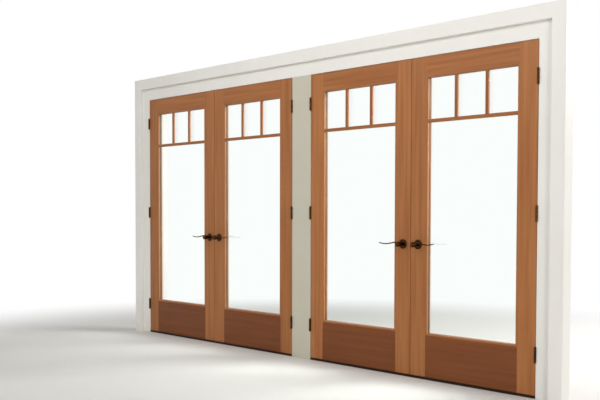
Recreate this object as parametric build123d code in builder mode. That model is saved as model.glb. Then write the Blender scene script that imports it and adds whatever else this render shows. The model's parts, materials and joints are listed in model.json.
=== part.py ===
from build123d import *
import os
from math import sqrt

# French doors: two pairs of glazed fir leaves that open into the room, in one frame with a centre post.
# X runs to the right seen from the room, Y runs from the room to the outside, Z is up.
# The origin is at floor level under the middle of the centre post.

os.makedirs("parts", exist_ok=True)

# Leaves
leaf_width = 912.8
leaf_height = 2032.0
leaf_thickness = 44.5
stile_width = 121.0
top_rail_height = 121.0
bottom_rail_height = 268.0
eased_edge = 1.2
meeting_gap = 3.2
hinge_gap = 3.0
head_gap = 3.0
floor_gap = 17.0

# Glazing: the rabbet opens to the room, and the sticking tongue stands on the outside
sticking_width = 12.0
sticking_thickness = 14.0
sticking_bevel = 6.0
glass_thickness = 16.0
pane_thickness = 3.0
spacer_width = 7.0
glass_clearance = 3.0
glazing_tape = 0.3
bead_flat = 9.0
bar_width = 22.2
bar_setback = 1.0
bar_arris = 1.5
top_lite_height = 261.0
top_lites = 3

# Joints of the leaf
tenon_thickness = 12.7
tenon_length = 50.0
tenon_shoulder = 22.0
tenon_fit = 0.2

# Frame
post_width = 192.6
frame_depth = 167.0
frame_face = 97.0
casing_lap = 15.0
flange_depth = 52.0
jamb_board = 38.0
stop_height = 12.7
stop_seal_gap = 6.0
kerf_width = 2.5
kerf_depth = 9.5
kerf_inset = 2.7
seal_clearance = 0.5
seal_fit = 0.1

# Casing
casing_width = 90.0
casing_proud = 32.0
casing_return = 20.0
casing_round = 3.0
exterior_casing_width = 57.0
exterior_casing_thickness = 32.0
exterior_casing_reveal = 15.0
exterior_casing_bevel = 12.0
exterior_casing_outer_bevel = 6.0

# Sill
sill_height = 14.0
sill_nose_height = 8.0
sill_overhang = 18.0
sill_wall = 2.5
sill_riser_height = 12.0
sill_riser_depth = 11.0
sill_legs = 5

# Hinges
hinge_height = 89.0
hinge_width = 38.0
hinge_plate = 2.5
knuckle_radius = 6.35
knuckle_count = 5
knuckle_gap = 0.3
pin_radius = 3.5
pin_clearance = 0.05
pin_cap_radius = 4.6
pin_cap_height = 3.0
barrel_clearance = 0.4
bottom_hinge_height = 236.0
middle_hinge_height = 1045.0
top_hinge_drop = 208.0

# Lever sets
backset = 60.0
lever_height = 845.0
rosette_radius = 30.8
rosette_thickness = 9.0
rosette_step = 4.0
spigot_radius = 25.0
spigot_depth = 8.0
bore_radius = 27.0
turning_gap = 0.3
neck_radius = 12.0
hub_radius = 16.5
hub_start = 36.0
hub_length = 26.0
hub_bevel = 2.5
arm_offset = 50.0
arm_thickness = 13.0
arm_height = 8.6
arm_bevel = 2.4
arm_tip_share = 0.55
arm_stations = 10
# Reach of the arm's line from the spindle, and its rise above it
arm_wave = ((8, 10), (25, 13), (50, 9), (80, 4.5), (111, 1.5), (138, 6), (160, 12))
spindle_side = 8.0
spindle_fit = 0.1
spindle_bury = 12.0
knob_radius = 20.0
knob_length = 11.0
knob_neck_length = 3.0
knob_bevel = 2.5
knob_socket = 8.0

# Latches of the active leaves
latch_case_radius = 11.0
latch_case_length = 74.0
latch_thickness = 11.0
latch_height = 14.0
latch_throw = 12.7
latch_tail = 28.0
latch_lip = 2.75
latch_fit = 0.3
faceplate_width = 25.4
faceplate_height = 57.0
faceplate_thickness = 2.5

# Gear cases and bolts of the passive leaves
gear_case_depth = 82.0
gear_case_thickness = 16.0
gear_case_height = 110.0
gear_plate_height = 170.0
strike_depth = 12.5
strike_room = 1.0
bolt_radius = 5.0
bolt_fit = 0.4
bolt_hole_play = 0.8
bolt_throw = 15.0
bolt_edge_distance = 16.0
bolt_pocket = 25.0

# Astragal on the passive leaves
astragal_on_leaf = 24.0
astragal_lap = 14.0
astragal_thickness = 12.0
astragal_clearance = 0.8
astragal_round = 2.0
astragal_end_gap = 3.0

# Places worked out from the sizes above
pair_width = 2 * leaf_width + meeting_gap
opening_width = pair_width + 2 * hinge_gap
inner_leaf_edge = post_width / 2 + hinge_gap
outer_leaf_edge = inner_leaf_edge + pair_width
room_face = -frame_depth / 2
leaf_top = floor_gap + leaf_height
stop_face = leaf_thickness + stop_seal_gap
tongue_face = leaf_thickness - sticking_thickness
glass_front = tongue_face - glazing_tape - glass_thickness
bead_depth = glass_front - glazing_tape
lite_bottom = bottom_rail_height
lite_top = leaf_height - top_rail_height
lite_width = leaf_width - 2 * stile_width
cross_bar_centre = lite_top - sticking_width - top_lite_height - bar_width / 2
bar_pitch = (lite_width - 2 * sticking_width + bar_width) / top_lites
hinge_heights = (bottom_hinge_height, middle_hinge_height, leaf_height - top_hinge_drop)
axis_depth = knuckle_radius + barrel_clearance
axis_inset = hinge_gap / 2
middle_depth = leaf_thickness / 2
lever_x = leaf_width - backset
bolt_x = leaf_width - bolt_edge_distance

# Each leaf: number, place of its hinge edge, side that the leaf lies on (1 right, -1 left), passive or not
leaves = (
    (1, -outer_leaf_edge, 1, True),
    (2, -inner_leaf_edge, -1, False),
    (3, inner_leaf_edge, 1, True),
    (4, outer_leaf_edge, -1, False),
)


def save(shape, name):
    """Label a finished piece and write its file."""
    shape.label = name
    export_step(shape, f"parts/{name}.step")


def group(shapes):
    """Several like pieces as one node of separate solids."""
    return Compound(children=[solid for shape in shapes for solid in shape.solids()])


def hang(shape, hinge_edge, side):
    """Move a piece from the leaf's own frame to its place, mirrored on a leaf that lies to the left.

    In the leaf's own frame X runs from the hinge edge, Y from the room face and Z from the bottom edge.
    """
    handed = mirror(shape, about=Plane.YZ) if side < 0 else shape
    return handed.moved(Location((hinge_edge, room_face, floor_gap)))


# Frame members: a profile in u and v, u outwards from the leaves' outer edges and v from the room face


def jamb_profile():
    """Rebated jamb: a flange on the room side, a board through the wall, a stop with a kerf for the seal."""
    kerf_start = -stop_height + hinge_gap + kerf_inset
    with BuildSketch() as sketch:
        with BuildLine():
            Polyline(
                (hinge_gap, 0),
                (frame_face + casing_lap, 0),
                (frame_face + casing_lap, flange_depth),
                (hinge_gap + jamb_board, flange_depth),
                (hinge_gap + jamb_board, frame_depth),
                (hinge_gap - stop_height, frame_depth),
                (hinge_gap - stop_height, stop_face),
                (kerf_start, stop_face),
                (kerf_start, stop_face + kerf_depth),
                (kerf_start + kerf_width, stop_face + kerf_depth),
                (kerf_start + kerf_width, stop_face),
                (hinge_gap, stop_face),
                close=True,
            )
        make_face()
    return sketch.sketch


def casing_profile():
    """Casing board that laps the jamb's flange, with a return to the wall on its outer side."""
    inner, outer = frame_face, frame_face + casing_width
    with BuildSketch() as sketch:
        with BuildLine():
            Polyline(
                (inner, 0),
                (inner, -casing_proud),
                (outer, -casing_proud),
                (outer, flange_depth),
                (outer - casing_return, flange_depth),
                (outer - casing_return, 0),
                close=True,
            )
        make_face()
        fillet(sketch.vertices().group_by(Axis.Y)[0], radius=casing_round)
    return sketch.sketch


def exterior_casing_profile():
    """Outside casing, bevelled on both edges, seated on the jamb's outside edge."""
    inner = hinge_gap - stop_height + exterior_casing_reveal
    outer = inner + exterior_casing_width
    front = frame_depth + exterior_casing_thickness
    with BuildSketch() as sketch:
        with BuildLine():
            Polyline(
                (inner, frame_depth),
                (outer, frame_depth),
                (outer, front - exterior_casing_outer_bevel),
                (outer - exterior_casing_outer_bevel, front),
                (inner + exterior_casing_bevel, front),
                (inner, front - exterior_casing_bevel),
                close=True,
            )
        make_face()
    return sketch.sketch


def seal_profile():
    """Weatherstrip: a leg in the stop's kerf and a soft bulb that the leaf closes on."""
    kerf_start = -stop_height + hinge_gap + kerf_inset
    leg_start, leg_end = kerf_start + seal_fit, kerf_start + kerf_width - seal_fit
    bulb_start, bulb_end = hinge_gap - stop_height + seal_clearance, 0
    front = leaf_thickness + seal_clearance
    with BuildSketch() as sketch:
        with BuildLine():
            Polyline(
                (bulb_start, stop_face),
                (bulb_start, front + kerf_width),
                (leg_start, front),
                (leg_end, front),
                (bulb_end, front + kerf_width),
                (bulb_end, stop_face),
                (leg_end, stop_face),
                (leg_end, stop_face + kerf_depth - seal_clearance),
                (leg_start, stop_face + kerf_depth - seal_clearance),
                (leg_start, stop_face),
                close=True,
            )
        make_face()
    return sketch.sketch


def upright(profile, edge, side, bottom, top):
    """Run a profile up the frame's side at a leaf edge, outwards to the left (-1) or to the right (1)."""
    plane = Plane((edge, room_face, bottom), x_dir=(side, 0, 0), z_dir=(0, 0, side))
    with BuildPart() as member:
        with BuildSketch(plane):
            add(profile)
        extrude(amount=side * (top - bottom))
    return member.part


def crosswise(profile, start, end):
    """Run a profile along the head, outwards upwards, from one place on X to another."""
    plane = Plane((end, room_face, leaf_top), x_dir=(0, 0, 1), z_dir=(-1, 0, 0))
    with BuildPart() as member:
        with BuildSketch(plane):
            add(profile)
        extrude(amount=end - start)
    return member.part


def mitred_surround(profile, inner, outer):
    """Left, head and right members of one moulding, mitred where they meet."""
    reach = outer_leaf_edge + outer
    members = {
        "left": upright(profile, -outer_leaf_edge, -1, 0, leaf_top + outer),
        "head": crosswise(profile, -reach, reach),
        "right": upright(profile, outer_leaf_edge, 1, 0, leaf_top + outer),
    }
    inner_x, outer_x = outer_leaf_edge + inner, outer_leaf_edge + outer
    inner_z, outer_z = leaf_top + inner, leaf_top + outer
    outlines = {
        "left": ((-outer_x, 0), (-inner_x, 0), (-inner_x, inner_z), (-outer_x, outer_z)),
        "head": ((-outer_x, outer_z), (-inner_x, inner_z), (inner_x, inner_z), (outer_x, outer_z)),
        "right": ((inner_x, 0), (outer_x, 0), (outer_x, outer_z), (inner_x, inner_z)),
    }
    cut = {}
    for place, member in members.items():
        with BuildPart() as mitred:
            add(member)
            with BuildSketch(Plane.XZ):
                with BuildLine():
                    Polyline(*outlines[place], close=True)
                make_face()
            extrude(amount=2 * frame_depth, both=True, mode=Mode.INTERSECT)
        cut[place] = mitred.part
    return cut


def hinge_mortises(edge, side):
    """Room for the hinge plates in a frame member: side 1 where the leaf lies to the right of its edge."""
    with BuildPart() as mortises:
        for height in hinge_heights:
            with BuildSketch(Plane.XY.offset(floor_gap + height - hinge_height / 2)):
                with Locations((edge - side * (hinge_gap + hinge_plate / 2), room_face + hinge_width / 2)):
                    Rectangle(hinge_plate, hinge_width)
            extrude(amount=hinge_height)
    return mortises.part


surround = mitred_surround(jamb_profile(), hinge_gap - stop_height, frame_face + casing_lap)

with BuildPart() as left_jamb:
    add(surround["left"])
    add(hinge_mortises(-outer_leaf_edge, 1), mode=Mode.SUBTRACT)
save(left_jamb.part, "left_jamb")

with BuildPart() as right_jamb:
    add(surround["right"])
    add(hinge_mortises(outer_leaf_edge, -1), mode=Mode.SUBTRACT)
save(right_jamb.part, "right_jamb")

# The head has a strike hole above each passive leaf for its top bolt
with BuildPart() as head_jamb:
    add(surround["head"])
    for number, hinge_edge, side, passive in leaves:
        if passive:
            with BuildSketch(Plane.XY.offset(leaf_top + head_gap)):
                with Locations((hinge_edge + side * bolt_x, room_face + middle_depth)):
                    Circle(bolt_radius + bolt_hole_play)
            extrude(amount=bolt_throw, mode=Mode.SUBTRACT)
save(head_jamb.part, "head_jamb")

# Centre post: its room side reaches up to the head's rabbet, and its stops end under the head's stop
half_post = post_width / 2
with BuildPart() as mull_post:
    with BuildSketch():
        with BuildLine():
            Polyline(
                (-half_post, room_face),
                (half_post, room_face),
                (half_post, room_face + stop_face),
                (half_post + stop_height, room_face + stop_face),
                (half_post + stop_height, room_face + frame_depth),
                (-half_post - stop_height, room_face + frame_depth),
                (-half_post - stop_height, room_face + stop_face),
                (-half_post, room_face + stop_face),
                close=True,
            )
        make_face()
        kerf_centre = half_post + stop_height - kerf_inset - kerf_width / 2
        with Locations(*[(end * kerf_centre, room_face + stop_face + kerf_depth / 2) for end in (-1, 1)]):
            Rectangle(kerf_width, kerf_depth, mode=Mode.SUBTRACT)
    extrude(amount=leaf_top + head_gap)
    with BuildSketch(Plane.XY.offset(leaf_top + head_gap - stop_height)):
        with Locations((0, room_face + stop_face)):
            Rectangle(post_width + 2 * stop_height, frame_depth - stop_face, align=(Align.CENTER, Align.MIN))
    extrude(amount=stop_height, mode=Mode.SUBTRACT)
    add(hinge_mortises(-inner_leaf_edge, -1), mode=Mode.SUBTRACT)
    add(hinge_mortises(inner_leaf_edge, 1), mode=Mode.SUBTRACT)
save(mull_post.part, "mull_post")

casing = mitred_surround(casing_profile(), frame_face, frame_face + casing_width)
for place in ("left", "head", "right"):
    save(casing[place], f"casing_{place}")

exterior_inner = hinge_gap - stop_height + exterior_casing_reveal
exterior = mitred_surround(exterior_casing_profile(), exterior_inner, exterior_inner + exterior_casing_width)
save(group(exterior.values()), "exterior_casing")


def sill(centre, bolt_place, slope):
    """Extruded sill of one pair: open chambers between its legs, a riser behind the leaves, a sloped nose."""
    nose = frame_depth + sill_overhang
    riser_end = stop_face + sill_riser_depth
    with BuildPart() as extrusion:
        with BuildSketch(Plane((centre, room_face, 0), x_dir=(0, 1, 0), z_dir=(1, 0, 0))) as outline:
            with BuildLine():
                Polyline(
                    (0, 0),
                    (0, sill_height),
                    (stop_face, sill_height),
                    (stop_face, sill_height + sill_riser_height),
                    (riser_end, sill_height + sill_riser_height),
                    (riser_end, sill_height),
                    (nose, sill_nose_height),
                    (nose, 0),
                    close=True,
                )
            make_face()
            chamber = (nose - sill_wall) / (sill_legs - 1) - sill_wall
            for index in range(sill_legs - 1):
                start = sill_wall + index * (chamber + sill_wall)
                end = start + chamber
                roof = [
                    min(sill_height, sill_height - (depth - riser_end) * slope) - sill_wall
                    for depth in (start, end)
                ]
                with BuildLine():
                    Polyline((start, 0), (start, roof[0]), (end, roof[1]), (end, 0), close=True)
                make_face(mode=Mode.SUBTRACT)
        extrude(amount=opening_width / 2, both=True)
        # The stops of the jamb and the post stand on the floor, so the sill is notched round them
        with BuildSketch(Plane((centre, room_face + stop_face, 0))):
            with GridLocations(opening_width - stop_height, 0, 2, 1):
                Rectangle(stop_height, nose, align=(Align.CENTER, Align.MIN))
        extrude(amount=sill_height + sill_riser_height, mode=Mode.SUBTRACT)
        with BuildSketch(Plane((bolt_place, room_face + middle_depth, 0))):
            Circle(bolt_radius + bolt_hole_play)
        extrude(amount=sill_height, mode=Mode.SUBTRACT)
    return extrusion.part


sill_slope = (sill_height - sill_nose_height) / (frame_depth + sill_overhang - stop_face - sill_riser_depth)
pair_centre = inner_leaf_edge + pair_width / 2
sills = [
    sill(-pair_centre, -outer_leaf_edge + bolt_x, sill_slope),
    sill(pair_centre, inner_leaf_edge + bolt_x, sill_slope),
]
save(group(sills), "sills")

# Weatherstrips: one up each side of each opening, and one under the head between them
seal = seal_profile()
strips = []
seal_bottom = sill_height + sill_riser_height + seal_clearance
seal_top = leaf_top + head_gap - stop_height - seal_clearance
for number, hinge_edge, side, passive in leaves:
    strips.append(upright(seal, hinge_edge, -side, seal_bottom, seal_top))
head_strip_end = pair_width / 2 + hinge_gap - stop_height + kerf_inset + kerf_width
for centre in (-pair_centre, pair_centre):
    strips.append(crosswise(seal, centre - head_strip_end, centre + head_strip_end))
save(group(strips), "weatherstrips")


# Wood of one leaf, in the leaf's own frame


def sticking_outline(start, direction):
    """Points of the tongue's edge that stands out from a face at start, towards direction."""
    return [
        (start, tongue_face),
        (start + direction * sticking_width, tongue_face),
        (start + direction * sticking_width, leaf_thickness - sticking_bevel),
        (start + direction * (sticking_width - sticking_bevel), leaf_thickness),
    ]


def stile(edge_start, direction):
    """A stile with its rabbet and tongue, mortised for both rails, from the leaf's edge inwards."""
    inner_face = edge_start + direction * stile_width
    with BuildPart() as body:
        with BuildSketch():
            with BuildLine():
                Polyline(
                    (edge_start + direction * eased_edge, 0),
                    (inner_face, 0),
                    *sticking_outline(inner_face, direction),
                    (edge_start + direction * eased_edge, leaf_thickness),
                    (edge_start, leaf_thickness - eased_edge),
                    (edge_start, eased_edge),
                    close=True,
                )
            make_face()
        extrude(amount=leaf_height)
        for bottom, top in rail_tenons:
            with BuildSketch(Plane.XY.offset(bottom - tenon_fit)):
                with Locations((inner_face, middle_tenon)):
                    Rectangle(
                        tenon_length + tenon_fit,
                        tenon_thickness + 2 * tenon_fit,
                        align=(Align.MAX if direction > 0 else Align.MIN, Align.CENTER),
                    )
            extrude(amount=top - bottom + 2 * tenon_fit, mode=Mode.SUBTRACT)
    return body.part


def rail(face, outer_edge, tenon_bottom, tenon_top, stiles):
    """A rail from its outer edge to the face that the glass starts at, tenoned and coped at both ends."""
    direction = 1 if face > outer_edge else -1
    with BuildPart() as body:
        with BuildSketch(Plane((stile_width, 0, 0), x_dir=(0, 0, 1), z_dir=(-1, 0, 0))):
            with BuildLine():
                Polyline(
                    (outer_edge, 0),
                    (face, 0),
                    *sticking_outline(face, direction),
                    (outer_edge, leaf_thickness),
                    close=True,
                )
            make_face()
        extrude(amount=-lite_width)
        with BuildSketch(Plane.XY.offset(tenon_bottom)):
            with Locations((leaf_width / 2, middle_tenon)):
                Rectangle(leaf_width - 2 * (stile_width - tenon_length), tenon_thickness)
        extrude(amount=tenon_top - tenon_bottom)
        for neighbour in stiles:
            add(neighbour, mode=Mode.SUBTRACT)
    return body.part


def bar(start, along, length, neighbours):
    """A glazing bar that lies on the room side of the glass, its ends scribed to its neighbours."""
    width_way = Vector(0, 1, 0).cross(along)
    half = bar_width / 2
    with BuildPart() as body:
        with BuildSketch(Plane(start, x_dir=width_way, z_dir=along)):
            with BuildLine():
                Polyline(
                    (-half, bead_depth),
                    (-half, bar_setback + bar_arris),
                    (-half + bar_arris, bar_setback),
                    (half - bar_arris, bar_setback),
                    (half, bar_setback + bar_arris),
                    (half, bead_depth),
                    close=True,
                )
            make_face()
        extrude(amount=length)
        for neighbour in neighbours:
            add(neighbour, mode=Mode.SUBTRACT)
    return body.part


def glazing_bead(middle, inward, length):
    """One mitred bead: middle of its rabbet edge at the room face, direction towards the glass, length."""
    depth_way = Vector(0, 1, 0)
    along = inward.cross(depth_way)
    with BuildPart() as bead:
        with BuildSketch(Plane(middle, x_dir=inward, z_dir=along)):
            with BuildLine():
                front = Line((0, 0), (bead_flat, 0))
                round_over = sticking_width - bead_flat
                curve = CenterArc((bead_flat, round_over), round_over, start_angle=270, arc_size=90)
                Polyline(curve @ 1, (sticking_width, bead_depth), (0, bead_depth), front @ 0)
            make_face()
        extrude(amount=length / 2, both=True)
        with BuildSketch(Plane(middle, x_dir=along, z_dir=depth_way)):
            with BuildLine():
                Polyline(
                    (-length / 2, 0),
                    (length / 2, 0),
                    (length / 2 - sticking_width, sticking_width),
                    (-length / 2 + sticking_width, sticking_width),
                    close=True,
                )
            make_face()
        extrude(amount=leaf_thickness, mode=Mode.INTERSECT)
    return bead.part


middle_tenon = tongue_face / 2
bottom_tenon = (tenon_shoulder, bottom_rail_height - tenon_shoulder)
top_tenon = (leaf_height - top_rail_height + tenon_shoulder, leaf_height - tenon_shoulder)
rail_tenons = (bottom_tenon, top_tenon)

hinge_stile = stile(0, 1)
lock_stile = stile(leaf_width, -1)
stiles = (hinge_stile, lock_stile)
bottom_rail = rail(lite_bottom, 0, *bottom_tenon, stiles)
top_rail = rail(lite_top, leaf_height, *top_tenon, stiles)

# One sealed unit fills the leaf: two panes with air between them, closed round the edge
lite_height = lite_top - lite_bottom
lite_middle = (leaf_width / 2, lite_bottom + lite_height / 2)
unit_width, unit_height = lite_width - 2 * glass_clearance, lite_height - 2 * glass_clearance
with BuildPart() as sealed_unit:
    with BuildSketch(Plane.XZ.offset(-glass_front - glass_thickness)):
        with Locations(lite_middle):
            Rectangle(unit_width, unit_height)
    extrude(amount=glass_thickness)
    with BuildSketch(Plane.XZ.offset(-glass_front - glass_thickness + pane_thickness)):
        with Locations(lite_middle):
            Rectangle(unit_width - 2 * spacer_width, unit_height - 2 * spacer_width)
    extrude(amount=glass_thickness - 2 * pane_thickness, mode=Mode.SUBTRACT)

# Its four beads, mitred, and between them a cross bar with upright bars from it to the top bead
middle_x, middle_z = lite_middle
bottom_bead = glazing_bead((middle_x, 0, lite_bottom), Vector(0, 0, 1), lite_width)
top_bead = glazing_bead((middle_x, 0, lite_top), Vector(0, 0, -1), lite_width)
hinge_side_bead = glazing_bead((stile_width, 0, middle_z), Vector(1, 0, 0), lite_height)
lock_side_bead = glazing_bead((leaf_width - stile_width, 0, middle_z), Vector(-1, 0, 0), lite_height)
cross_bar = bar(
    (stile_width, 0, cross_bar_centre), Vector(1, 0, 0), lite_width, (hinge_side_bead, lock_side_bead)
)
first_bar_place = stile_width + sticking_width - bar_width / 2 + bar_pitch
upright_bars = [
    bar(
        (first_bar_place + index * bar_pitch, 0, cross_bar_centre),
        Vector(0, 0, 1),
        lite_top - cross_bar_centre,
        (cross_bar, top_bead),
    )
    for index in range(top_lites - 1)
]


# Hinges, in the leaf's own frame


def hinge_half(height, on_leaf):
    """One half of a butt hinge: a plate let into the edge, joined to its own knuckles."""
    pitch = hinge_height / knuckle_count
    first = 1 if on_leaf else 0
    plate_start = 0 if on_leaf else -hinge_gap - hinge_plate
    with BuildPart() as half:
        with BuildSketch(Plane((plate_start, 0, height - hinge_height / 2))):
            Rectangle(hinge_plate, hinge_width, align=(Align.MIN, Align.MIN))
        extrude(amount=hinge_height)
        for index in range(first, knuckle_count, 2):
            bottom = height - hinge_height / 2 + index * pitch + knuckle_gap / 2
            with BuildSketch(Plane((plate_start, -axis_depth, bottom))):
                Rectangle(hinge_plate, axis_depth, align=(Align.MIN, Align.MIN))
            extrude(amount=pitch - knuckle_gap)
            with BuildSketch(Plane((-axis_inset, -axis_depth, bottom))):
                Circle(knuckle_radius)
            extrude(amount=pitch - knuckle_gap)
        with BuildSketch(Plane((-axis_inset, -axis_depth, height - hinge_height / 2))):
            Circle(pin_radius + pin_clearance)
        extrude(amount=hinge_height, mode=Mode.SUBTRACT)
    return half.part


def hinge_pin(height):
    """The loose pin with a cap at each end of the barrel."""
    with BuildPart() as pin:
        with BuildSketch(Plane((-axis_inset, -axis_depth, height - hinge_height / 2))):
            Circle(pin_radius)
        extrude(amount=hinge_height)
        for end, way in ((-1, -1), (1, 1)):
            with BuildSketch(Plane((-axis_inset, -axis_depth, height + end * hinge_height / 2))):
                Circle(pin_cap_radius)
            extrude(amount=way * pin_cap_height)
    return pin.part


leaf_hinge_halves = [hinge_half(height, True) for height in hinge_heights]
frame_hinge_halves = [hinge_half(height, False) for height in hinge_heights]
pins = [hinge_pin(height) for height in hinge_heights]

with BuildPart() as hinge_stile_mortised:
    add(hinge_stile)
    for height in hinge_heights:
        with BuildSketch(Plane((0, 0, height - hinge_height / 2))):
            Rectangle(hinge_plate, hinge_width, align=(Align.MIN, Align.MIN))
        extrude(amount=hinge_height, mode=Mode.SUBTRACT)


# Lever sets, in the leaf's own frame

lever_plane = Plane((lever_x, 0, lever_height), x_dir=(1, 0, 0), z_dir=(0, -1, 0))
edge_plane = Plane((leaf_width, middle_depth, lever_height), x_dir=(0, 1, 0), z_dir=(-1, 0, 0))


def rosette():
    """Round rose on the room side, stepped at its rim, with a spigot in the stile's bore."""
    with BuildPart() as rose:
        with BuildSketch(Plane((lever_x, 0, lever_height), x_dir=(1, 0, 0), z_dir=(0, 0, 1))):
            with BuildLine():
                Polyline(
                    (spindle_hole_radius, -rosette_thickness),
                    (rosette_radius - rosette_step, -rosette_thickness),
                    (rosette_radius, -rosette_thickness + rosette_step),
                    (rosette_radius, 0),
                    (spigot_radius, 0),
                    (spigot_radius, spigot_depth),
                    (spindle_hole_radius, spigot_depth),
                    close=True,
                )
            make_face()
        revolve(axis=Axis((lever_x, 0, lever_height), (0, 1, 0)))
    return rose.part


def lever_handle():
    """Room-side lever: neck, hub and a slender waved arm that points towards the hinge stile."""
    neck_start = rosette_thickness + turning_gap
    with BuildPart() as handle:
        with BuildSketch(lever_plane.offset(neck_start)):
            Circle(neck_radius)
        extrude(amount=hub_start - neck_start)
        with BuildSketch(lever_plane.offset(hub_start)):
            Circle(hub_radius)
        extrude(amount=hub_length)
        chamfer(handle.edges().filter_by(GeomType.CIRCLE).group_by(Axis.Y)[0], length=hub_bevel)
        with BuildLine(mode=Mode.PRIVATE) as wave:
            Spline(*[(lever_x - reach, -arm_offset, lever_height + rise) for reach, rise in arm_wave])
        for index in range(arm_stations):
            share = index / (arm_stations - 1)
            taper = 1 - (1 - arm_tip_share) * share
            with BuildSketch(Plane(wave.line @ share, x_dir=(0, 1, 0), z_dir=wave.line % share)) as section:
                Rectangle(arm_thickness * taper, arm_height * taper)
                chamfer(section.vertices(), length=arm_bevel * taper)
        loft()
        with BuildSketch(lever_plane.offset(neck_start)):
            Rectangle(spindle_side + 2 * spindle_fit, spindle_side + 2 * spindle_fit)
        extrude(amount=hub_start + spindle_bury - neck_start, mode=Mode.SUBTRACT)
    return handle.part


spindle_hole_radius = spindle_side / sqrt(2) + turning_gap
spindle_reach = hub_start + spindle_bury - turning_gap

room_rosette = rosette()
room_lever = lever_handle()
across_leaf = Plane((0, middle_depth, 0), x_dir=(1, 0, 0), z_dir=(0, 1, 0))
outside_rosette = mirror(room_rosette, about=across_leaf)

# Outside: a low turn knob on the same spindle, which the stile hides from the room
knob_start = leaf_thickness + rosette_thickness + turning_gap
knob_end = knob_start + knob_length
with BuildPart() as outside_knob:
    with BuildSketch(Plane((lever_x, 0, lever_height), x_dir=(1, 0, 0), z_dir=(0, 0, 1))):
        with BuildLine():
            Polyline(
                (0, knob_start),
                (neck_radius, knob_start),
                (neck_radius, knob_start + knob_neck_length),
                (knob_radius, knob_start + knob_neck_length),
                (knob_radius, knob_end - knob_bevel),
                (knob_radius - knob_bevel, knob_end),
                (0, knob_end),
                close=True,
            )
        make_face()
    revolve(axis=Axis((lever_x, 0, lever_height), (0, 1, 0)))
    with BuildSketch(lever_plane.offset(-knob_start)):
        Rectangle(spindle_side + 2 * spindle_fit, spindle_side + 2 * spindle_fit)
    extrude(amount=-knob_socket, mode=Mode.SUBTRACT)

with BuildPart() as spindle:
    with BuildSketch(lever_plane.offset(spindle_reach)):
        Rectangle(spindle_side, spindle_side)
    extrude(amount=-(spindle_reach + knob_start + knob_socket - turning_gap))


def round_cut(radius, start, end):
    """A bore across the leaf at the spindle, from one depth to another."""
    with BuildPart() as cut:
        with BuildSketch(lever_plane.offset(-start)):
            Circle(radius)
        extrude(amount=start - end)
    return cut.part


def edge_block(width, height, start, end):
    """A block on the lock height, from one distance behind the meeting edge to another."""
    with BuildPart() as block:
        with BuildSketch(edge_plane.offset(start)):
            Rectangle(width, height)
        extrude(amount=end - start)
    return block.part


# Active leaf: tubular latch case with its faceplate, and the bevelled latch that slides in it
with BuildPart() as latch_case:
    with BuildSketch(edge_plane):
        Circle(latch_case_radius)
    extrude(amount=latch_case_length)
    add(edge_block(faceplate_width, faceplate_height, 0, faceplate_thickness))
    add(
        edge_block(
            latch_thickness + 2 * latch_fit,
            latch_height + 2 * latch_fit,
            0,
            latch_tail + latch_throw + latch_fit,
        ),
        mode=Mode.SUBTRACT,
    )
    add(round_cut(spindle_hole_radius, 0, leaf_thickness), mode=Mode.SUBTRACT)

latch_room_side = middle_depth - latch_thickness / 2
with BuildPart() as latch_bolt:
    with BuildSketch(Plane((0, 0, lever_height - latch_height / 2))):
        with BuildLine():
            Polyline(
                (leaf_width - latch_tail, latch_room_side),
                (leaf_width + latch_throw, latch_room_side),
                (leaf_width + latch_throw, latch_room_side + latch_lip),
                (leaf_width + meeting_gap, latch_room_side + latch_thickness),
                (leaf_width - latch_tail, latch_room_side + latch_thickness),
                close=True,
            )
        make_face()
    extrude(amount=latch_height)

with BuildPart() as active_lock_stile:
    add(lock_stile)
    with BuildSketch(edge_plane):
        Circle(latch_case_radius + latch_fit)
    extrude(amount=latch_case_length + latch_fit, mode=Mode.SUBTRACT)
    add(edge_block(faceplate_width, faceplate_height, 0, faceplate_thickness), mode=Mode.SUBTRACT)
    add(round_cut(bore_radius, 0, leaf_thickness), mode=Mode.SUBTRACT)

# Passive leaf: gear case behind a long faceplate that is also the strike, and two long bolts above and below
case_bottom = lever_height - gear_case_height / 2
case_top = lever_height + gear_case_height / 2
with BuildPart() as gear_case:
    add(edge_block(gear_case_thickness, gear_case_height, 0, gear_case_depth))
    add(edge_block(faceplate_width, gear_plate_height, 0, faceplate_thickness))
    add(
        edge_block(
            latch_thickness + 2 * strike_room, latch_height + 2 * strike_room, 0, strike_depth
        ),
        mode=Mode.SUBTRACT,
    )
    add(round_cut(spindle_hole_radius, 0, leaf_thickness), mode=Mode.SUBTRACT)
    for start, way in ((case_top, -1), (case_bottom, 1)):
        with BuildSketch(Plane((bolt_x, middle_depth, start))):
            Circle(bolt_radius + bolt_fit)
        extrude(amount=way * bolt_pocket, mode=Mode.SUBTRACT)

bolt_grip = bolt_pocket - bolt_throw - turning_gap
with BuildPart() as top_bolt:
    with BuildSketch(Plane((bolt_x, middle_depth, case_top - bolt_grip))):
        Circle(bolt_radius)
    extrude(amount=leaf_height + bolt_throw - case_top + bolt_grip)
with BuildPart() as bottom_bolt:
    with BuildSketch(Plane((bolt_x, middle_depth, -bolt_throw))):
        Circle(bolt_radius)
    extrude(amount=case_bottom + bolt_grip + bolt_throw)

with BuildPart() as passive_lock_stile:
    add(lock_stile)
    add(edge_block(gear_case_thickness, gear_case_height, 0, gear_case_depth), mode=Mode.SUBTRACT)
    add(edge_block(faceplate_width, gear_plate_height, 0, faceplate_thickness), mode=Mode.SUBTRACT)
    add(round_cut(bore_radius, 0, leaf_thickness), mode=Mode.SUBTRACT)
    with BuildSketch(Plane((bolt_x, middle_depth, 0))):
        Circle(bolt_radius + bolt_fit)
    extrude(amount=leaf_height, mode=Mode.SUBTRACT)

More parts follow.
